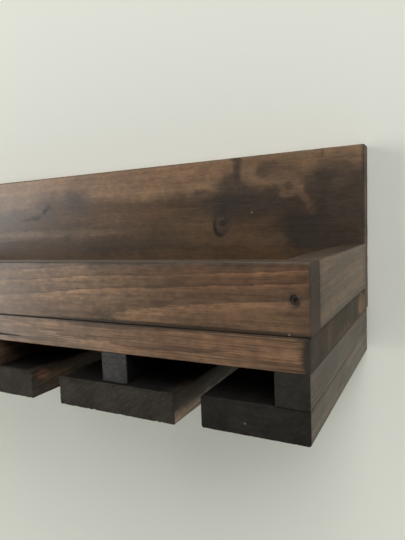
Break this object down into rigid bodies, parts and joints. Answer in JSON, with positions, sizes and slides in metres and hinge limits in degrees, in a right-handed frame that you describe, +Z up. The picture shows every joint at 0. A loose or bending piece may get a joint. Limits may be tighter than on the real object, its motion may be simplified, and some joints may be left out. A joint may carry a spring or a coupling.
{
  "type": "wall wine rack",
  "caption": "Wall-hung wooden rack: a railed tray for standing bottles on a shelf with a tall back board, and T-shaped slats below that hold stemmed glasses by their feet.",
  "frame": {"origin": "on the wall plane, at the centre of the back board's rear face", "axes": "+X to the right along the shelf, +Y into the wall, +Z up"},
  "size_m": [0.5926, 0.2062, 0.1778],
  "materials": {
    "back_wood": "dark walnut stain, satin, blotchy",
    "tray_wood": "dark walnut stain, satin",
    "slat_wood": "dark walnut stain, satin, near black on end grain",
    "wood_screw_steel": "zinc plated",
    "trim_screw_steel": "dark, worn bright at the driver recess",
    "hanger_steel": "zinc plated"
  },
  "bodies": {
    "root": {"back_board": "back_wood", "shelf_board": "tray_wood", "front_rail": "tray_wood", "side_rail_left": "tray_wood", "side_rail_right": "tray_wood", "spacer_1": "slat_wood", "spacer_2": "slat_wood", "spacer_3": "slat_wood", "spacer_4": "slat_wood", "spacer_5": "slat_wood", "spacer_6": "slat_wood", "end_slat_left": "slat_wood", "end_slat_right": "slat_wood", "mid_slat_1": "slat_wood", "mid_slat_2": "slat_wood", "mid_slat_3": "slat_wood", "mid_slat_4": "slat_wood", "slat_screws": "wood_screw_steel", "rail_screws": "wood_screw_steel", "side_rail_screws": "wood_screw_steel", "back_board_screws": "wood_screw_steel", "front_rail_screws": "trim_screw_steel", "keyhole_plate_screws": "wood_screw_steel", "keyhole_plate_left": "hanger_steel", "keyhole_plate_right": "hanger_steel"}
  },
  "joints": []
}
